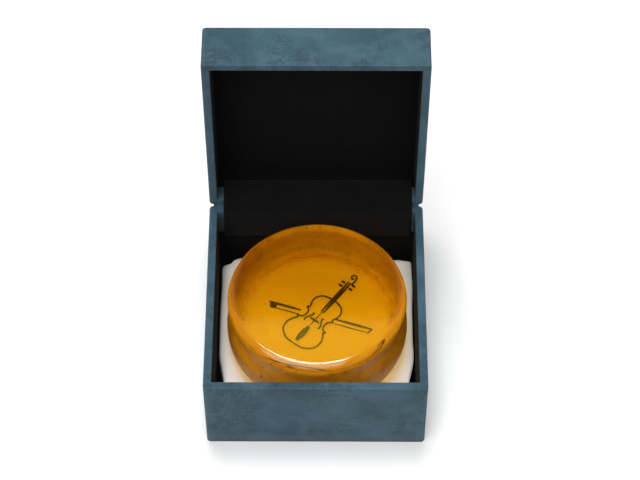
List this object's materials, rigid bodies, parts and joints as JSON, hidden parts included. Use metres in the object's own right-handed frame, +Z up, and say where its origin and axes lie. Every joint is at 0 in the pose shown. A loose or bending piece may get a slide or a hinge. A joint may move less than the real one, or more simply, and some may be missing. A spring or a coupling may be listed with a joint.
{
  "type": "rosin cake",
  "caption": "Round cake of clear amber rosin resting on a folded cloth inside a paper-covered board box with a hinged lid, used to coat bow hair.",
  "frame": {"origin": "middle of the flat underside of the box", "axes": "+Z up out of the open box, +Y towards the hinge and the open lid, +X to the right seen from the front"},
  "size_m": [0.054, 0.0665, 0.0795],
  "materials": {
    "covering_paper": "mottled slate blue suede-effect covering paper, matt",
    "board": "plain grey board",
    "lining": "black flocked lining",
    "hinge_cloth": "black felt strip",
    "cloth": "off-white soft woven cloth",
    "rosin": "clear amber rosin, polished top, dusty side",
    "ink": "black printed line"
  },
  "bodies": {
    "base": {"base_bottom_sheet": "covering_paper", "base_floor_board": "board", "base_front_board": "board", "base_back_board": "board", "base_left_board": "board", "base_right_board": "board", "base_wrap": "covering_paper", "base_floor_lining": "lining", "base_front_lining": "lining", "base_back_lining": "lining", "base_left_lining": "lining", "base_right_lining": "lining", "hinge_paper": "covering_paper"},
    "lid": {"lid_top_board": "board", "lid_front_board": "board", "lid_back_board": "board", "lid_left_board": "board", "lid_right_board": "board", "lid_wrap": "covering_paper", "lid_top_lining": "lining", "lid_front_lining": "lining", "lid_back_lining": "lining", "lid_left_lining": "lining", "lid_right_lining": "lining", "hinge_strip": "hinge_cloth"},
    "cloth": {"polishing_cloth": "cloth"},
    "cake": {"rosin_cake": "rosin", "emblem_print": "ink"}
  },
  "joints": [
    {"name": "lid_hinge", "type": "hinge", "parent": "base", "child": "lid", "pos_m": [0, 0.02725, 0.025], "axis": [1, 0, 0], "range_deg": [0, 90], "deforming": ["hinge_strip", "hinge_paper"]},
    {"name": "cloth_lift", "type": "slide", "parent": "base", "child": "cloth", "axis": [0, 0, 1], "range_m": [0, 0.003]},
    {"name": "cake_lift", "type": "slide", "parent": "cloth", "child": "cake", "axis": [0, 0, 1], "range_m": [0, 0.006]}
  ]
}
